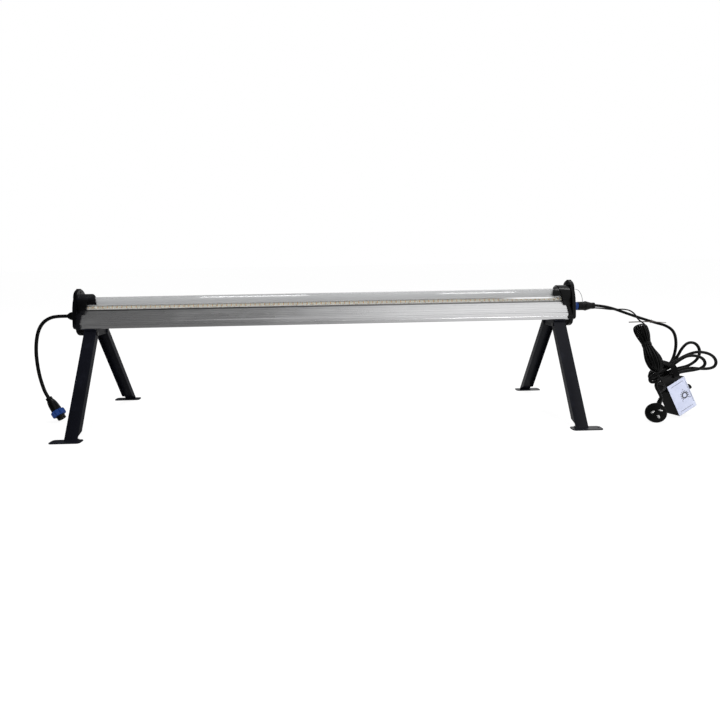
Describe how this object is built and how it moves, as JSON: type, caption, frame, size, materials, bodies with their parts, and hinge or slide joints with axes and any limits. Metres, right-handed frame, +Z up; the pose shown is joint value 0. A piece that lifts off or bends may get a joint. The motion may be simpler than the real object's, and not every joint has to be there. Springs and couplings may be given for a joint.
{
  "type": "led grow light",
  "caption": "Bar-shaped LED light that shines upward from between plants, on folding A-frame stands, with a mains lead, a dimmer and a linking lead.",
  "frame": {"origin": "on the floor under the middle of the bar, between the four feet", "axes": "+X along the bar towards the mains inlet, +Y towards the back feet, +Z up"},
  "size_m": [1.568, 0.385, 0.3119],
  "materials": {
    "bar_aluminium": "ribbed extrusion, satin anodised",
    "clear_lens": "clear moulded cover, slightly frosted",
    "board_white": "white solder mask",
    "led_white": "pale phosphor",
    "led_warm": "deeper yellow phosphor",
    "steel": "plated",
    "gasket_rubber": "soft sheet",
    "board_green": "circuit board",
    "driver_dark": "potted parts",
    "frame_paint": "black satin powder coat",
    "cord_rubber": "smooth sheath",
    "connector_plastic": "moulded, satin",
    "black_plastic": "moulded, fine texture",
    "ring_blue": "dark blue moulded ring",
    "contact_metal": "bright plated",
    "strap_fabric": "woven hook-and-loop band",
    "tie_wire": "coated wire",
    "label_film": "printed film",
    "knob_plastic": "moulded, ribbed"
  },
  "bodies": {
    "light": {"board_screws": "steel", "bundle_strap": "strap_fabric", "control_cord": "cord_rubber", "control_cord_end": "cord_rubber", "control_hank": "cord_rubber", "dimmer_board": "board_green", "dimmer_case": "black_plastic", "dimmer_gland": "cord_rubber", "dimmer_label": "label_film", "dimmer_lid": "black_plastic", "dimmer_pot": "driver_dark", "dimmer_screws": "steel", "driver_board": "board_green", "driver_insulator": "driver_dark", "driver_parts": "driver_dark", "end_cap_left": "black_plastic", "end_cap_right": "black_plastic", "end_cap_screws": "steel", "end_gasket_left": "gasket_rubber", "end_gasket_right": "gasket_rubber", "hank_tie": "tie_wire", "heatsink_extrusion": "bar_aluminium", "hinge_pins": "steel", "inlet_pins": "contact_metal", "inlet_socket": "connector_plastic", "input_connector": "connector_plastic", "input_strain_nut": "connector_plastic", "lanyard_wire": "tie_wire", "led_board_back": "board_white", "led_board_front": "board_white", "led_chips_warm": "led_warm", "led_chips_white": "led_white", "lens_cover": "clear_lens", "mains_cord": "cord_rubber", "output_connector": "connector_plastic", "output_contacts": "contact_metal", "output_cord": "cord_rubber", "output_gland": "connector_plastic", "output_insert": "connector_plastic", "output_strain_nut": "connector_plastic", "panel_nuts": "steel", "plug_body": "connector_plastic", "plug_pins": "contact_metal", "stand_bolts": "steel", "stand_bracket_left": "frame_paint", "stand_bracket_right": "frame_paint", "stand_nuts": "steel", "twist_tie": "tie_wire"},
    "front_leg_left": {"leg_front_left": "frame_paint", "foot_front_left": "frame_paint"},
    "back_leg_left": {"leg_back_left": "frame_paint", "foot_back_left": "frame_paint"},
    "front_leg_right": {"leg_front_right": "frame_paint", "foot_front_right": "frame_paint"},
    "back_leg_right": {"leg_back_right": "frame_paint", "foot_back_right": "frame_paint"},
    "output_ring": {"output_lock_ring": "ring_blue"},
    "input_ring": {"input_lock_ring": "ring_blue"},
    "knob": {"dimmer_knob": "knob_plastic"}
  },
  "joints": [
    {"name": "front_leg_left_fold", "type": "hinge", "parent": "light", "child": "front_leg_left", "pos_m": [-0.5437, -0.0303, 0.2085], "axis": [1, 0, 0], "range_deg": [0, 36]},
    {"name": "back_leg_left_fold", "type": "hinge", "parent": "light", "child": "back_leg_left", "pos_m": [-0.5437, 0.0303, 0.2085], "axis": [1, 0, 0], "range_deg": [-36, 0]},
    {"name": "front_leg_right_fold", "type": "hinge", "parent": "light", "child": "front_leg_right", "pos_m": [0.5437, -0.0303, 0.2085], "axis": [1, 0, 0], "range_deg": [0, 36]},
    {"name": "back_leg_right_fold", "type": "hinge", "parent": "light", "child": "back_leg_right", "pos_m": [0.5437, 0.0303, 0.2085], "axis": [1, 0, 0], "range_deg": [-36, 0]},
    {"name": "output_ring_turn", "type": "hinge", "parent": "light", "child": "output_ring", "pos_m": [-0.64402, -0.01702, 0.01954], "axis": [0.5499, -0.2, -0.8109], "range_deg": [0, 70]},
    {"name": "input_ring_turn", "type": "hinge", "parent": "light", "child": "input_ring", "pos_m": [0.5909, 0, 0.248], "axis": [1, 0, 0], "range_deg": [0, 70]},
    {"name": "dimmer_turn", "type": "hinge", "parent": "light", "child": "knob", "pos_m": [0.822, -0.09129, 0.06138], "axis": [0.8742, 0.1833, 0.4496], "range_deg": [-150, 150]}
  ]
}
